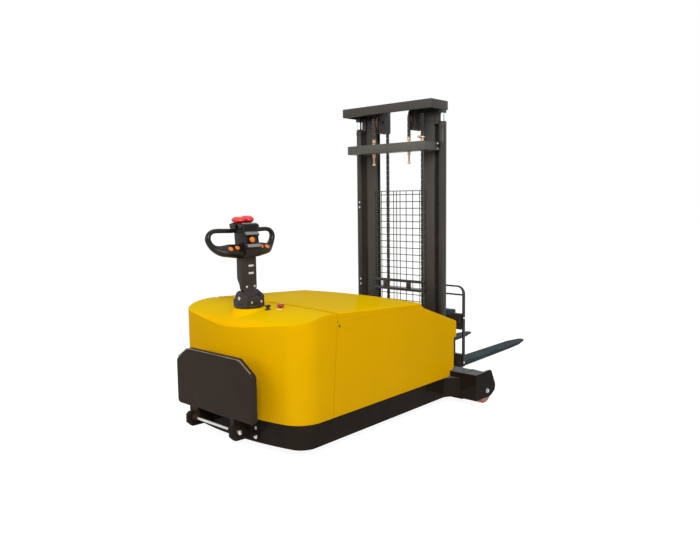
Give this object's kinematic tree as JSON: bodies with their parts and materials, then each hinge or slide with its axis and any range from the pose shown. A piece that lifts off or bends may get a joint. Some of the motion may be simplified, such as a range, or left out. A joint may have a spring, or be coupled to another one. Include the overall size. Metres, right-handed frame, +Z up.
{
  "type": "electric stacker",
  "caption": "Electric pedestrian stacker with a covered body, upright tiller, fold-up rider platform, telescopic chain-lifted mast with mesh guard, and forks on a carriage.",
  "frame": {"origin": "middle of the overall box on the ground", "axes": "+X towards the fork tips, +Y to the truck's left, +Z up"},
  "size_m": [3.06, 1.466, 2.002],
  "materials": {
    "yellow_paint": "gloss",
    "black_paint": "satin",
    "mast_paint": "satin",
    "fork_paint": "satin",
    "bright_steel": "satin",
    "chrome_rod": "polished",
    "bearing_steel": "machined",
    "chain_steel": "oiled",
    "plated_yellow": "plated",
    "orange_tread": "smooth",
    "black_tread": "matt",
    "mat_rubber": "ribbed",
    "black_plastic": "moulded",
    "orange_plastic": "gloss",
    "red_plastic": "gloss",
    "cast_weight": "painted",
    "drive_casting": "cast",
    "battery_case": "moulded",
    "pad_plastic": "moulded"
  },
  "bodies": {
    "chassis": {"battery_pack": "battery_case", "chain_anchors": "plated_yellow", "chain_rear_lengths": "chain_steel", "chassis_bolts": "bright_steel", "chassis_frame": "black_paint", "controller": "black_plastic", "counterweights": "cast_weight", "drive_hood": "yellow_paint", "front_axle_beam": "black_paint", "hinge_brackets": "black_paint", "hinge_rod": "bright_steel", "hydraulic_power_pack": "drive_casting", "lift_cylinders": "mast_paint", "load_axles": "bright_steel", "mast_bolts": "bright_steel", "mast_rear_bar": "mast_paint", "mesh_guard": "mast_paint", "outer_mast": "mast_paint", "side_panel_left": "yellow_paint", "side_panel_right": "yellow_paint", "wheel_housing_left": "black_paint", "wheel_housing_right": "black_paint"},
    "platform": {"platform_pan": "black_paint", "platform_mat": "mat_rubber"},
    "battery_lid": {"battery_cover": "yellow_paint"},
    "steering": {"drive_gearbox": "drive_casting", "drive_motor": "drive_casting", "steering_column": "bearing_steel", "tiller_base": "black_plastic", "tiller_pivot_pin": "bright_steel", "base_bolts": "bright_steel"},
    "drive_wheel": {"drive_wheel": "black_tread"},
    "tiller": {"tiller_arm": "black_plastic", "tiller_head": "black_plastic", "tiller_grips": "black_plastic", "arm_bolts": "bright_steel"},
    "belly_switch": {"belly_switch": "red_plastic"},
    "horn_button": {"horn_button": "orange_plastic"},
    "button_left_outer": {"button_left_outer": "orange_plastic"},
    "button_left_inner": {"button_left_inner": "orange_plastic"},
    "button_right_inner": {"button_right_inner": "orange_plastic"},
    "button_right_outer": {"button_right_outer": "orange_plastic"},
    "thumb_throttle": {"thumb_throttle": "black_plastic"},
    "estop_button": {"estop_button": "red_plastic"},
    "ignition_key": {"ignition_key": "bright_steel"},
    "load_wheel_left": {"load_wheel_left": "orange_tread"},
    "load_wheel_right": {"load_wheel_right": "orange_tread"},
    "inner_mast": {"inner_mast": "mast_paint", "piston_rods": "chrome_rod", "slide_pads": "pad_plastic", "chain_front_lengths": "chain_steel"},
    "chain_pulleys": {"chain_pulleys": "bearing_steel"},
    "carriage": {"carriage_frame": "mast_paint", "backrest": "mast_paint", "backrest_bolts": "bright_steel"},
    "carriage_rollers_upper": {"carriage_rollers_upper": "bearing_steel"},
    "carriage_rollers_lower": {"carriage_rollers_lower": "bearing_steel"},
    "fork_left": {"fork_left": "fork_paint"},
    "fork_right": {"fork_right": "fork_paint"}
  },
  "joints": [
    {"name": "steering_turn", "type": "hinge", "parent": "chassis", "child": "steering", "pos_m": [-1.227, 0, 0.19], "axis": [0, 0, 1], "range_deg": [0, 180]},
    {"name": "drive_wheel_spin", "type": "hinge", "parent": "steering", "child": "drive_wheel", "pos_m": [-1.227, 0, 0.115], "axis": [1, 0, 0], "continuous": true},
    {"name": "tiller_tilt", "type": "hinge", "parent": "steering", "child": "tiller", "pos_m": [-1.227, 0, 0.8053], "axis": [-1, 0, 0], "range_deg": [0, 75], "stiffness_Nm_per_rad": 20, "springref_deg": -34.38},
    {"name": "belly_press", "type": "slide", "parent": "tiller", "child": "belly_switch", "axis": [0, 0, -1], "range_m": [0, 0.004], "stiffness_N_per_m": 600},
    {"name": "horn_press", "type": "slide", "parent": "tiller", "child": "horn_button", "axis": [0, 1, 0], "range_m": [0, 0.004], "stiffness_N_per_m": 400},
    {"name": "button_left_outer_press", "type": "slide", "parent": "tiller", "child": "button_left_outer", "axis": [0, 0.7071, -0.7071], "range_m": [0, 0.003], "stiffness_N_per_m": 400},
    {"name": "button_left_inner_press", "type": "slide", "parent": "tiller", "child": "button_left_inner", "axis": [0, 0.7071, -0.7071], "range_m": [0, 0.003], "stiffness_N_per_m": 400},
    {"name": "button_right_inner_press", "type": "slide", "parent": "tiller", "child": "button_right_inner", "axis": [0, 0.7071, -0.7071], "range_m": [0, 0.003], "stiffness_N_per_m": 400},
    {"name": "button_right_outer_press", "type": "slide", "parent": "tiller", "child": "button_right_outer", "axis": [0, 0.7071, -0.7071], "range_m": [0, 0.003], "stiffness_N_per_m": 400},
    {"name": "throttle_turn", "type": "hinge", "parent": "tiller", "child": "thumb_throttle", "pos_m": [-1.227, -0.006, 1.206], "axis": [1, 0, 0], "range_deg": [-20, 20], "stiffness_Nm_per_rad": 0.5},
    {"name": "estop_press", "type": "slide", "parent": "chassis", "child": "estop_button", "axis": [0, 0, -1], "range_m": [0, 0.006], "stiffness_N_per_m": 800},
    {"name": "key_turn", "type": "hinge", "parent": "chassis", "child": "ignition_key", "pos_m": [-1.203, -0.136, 0.765], "axis": [0, 0, -1], "range_deg": [0, 90]},
    {"name": "platform_fold", "type": "hinge", "parent": "chassis", "child": "platform", "pos_m": [-1.495, 0, 0.14], "axis": [0, -1, 0], "range_deg": [0, 90], "stiffness_Nm_per_rad": 30, "springref_deg": -45.84},
    {"name": "lid_open", "type": "hinge", "parent": "chassis", "child": "battery_lid", "pos_m": [-0.278, 0, 0.692], "axis": [0, 1, 0], "range_deg": [0, 80]},
    {"name": "load_wheel_left_spin", "type": "hinge", "parent": "chassis", "child": "load_wheel_left", "pos_m": [0.168, 0.672, 0.085], "axis": [0, 1, 0], "continuous": true},
    {"name": "load_wheel_right_spin", "type": "hinge", "parent": "chassis", "child": "load_wheel_right", "pos_m": [0.168, -0.672, 0.085], "axis": [0, 1, 0], "continuous": true},
    {"name": "mast_lift", "type": "slide", "parent": "chassis", "child": "inner_mast", "axis": [0, 0, 1], "range_m": [-0.045, 1.23], "deforming": ["chain_rear_lengths"]},
    {"name": "carriage_lift", "type": "slide", "parent": "inner_mast", "child": "carriage", "axis": [0, 0, 1], "range_m": [-0.045, 1.23], "deforming": ["chain_front_lengths"]},
    {"name": "pulleys_turn", "type": "hinge", "parent": "inner_mast", "child": "chain_pulleys", "pos_m": [0.154, 0, 1.898], "axis": [0, 1, 0], "continuous": true},
    {"name": "rollers_upper_turn", "type": "hinge", "parent": "carriage", "child": "carriage_rollers_upper", "pos_m": [0.215, 0, 0.47], "axis": [0, 1, 0], "continuous": true},
    {"name": "rollers_lower_turn", "type": "hinge", "parent": "carriage", "child": "carriage_rollers_lower", "pos_m": [0.215, 0, 0.185], "axis": [0, 1, 0], "continuous": true},
    {"name": "fork_left_shift", "type": "slide", "parent": "carriage", "child": "fork_left", "axis": [0, 1, 0], "range_m": [-0.14, 0.08]},
    {"name": "fork_right_shift", "type": "slide", "parent": "carriage", "child": "fork_right", "axis": [0, -1, 0], "range_m": [-0.14, 0.08]}
  ],
  "couplings": [
    {"joint": "carriage_lift", "follows": "mast_lift", "ratio": 1},
    {"joint": "pulleys_turn", "follows": "mast_lift", "rad_per_m": -12.821},
    {"joint": "rollers_upper_turn", "follows": "mast_lift", "rad_per_m": 46.083},
    {"joint": "rollers_lower_turn", "follows": "mast_lift", "rad_per_m": -46.083}
  ]
}
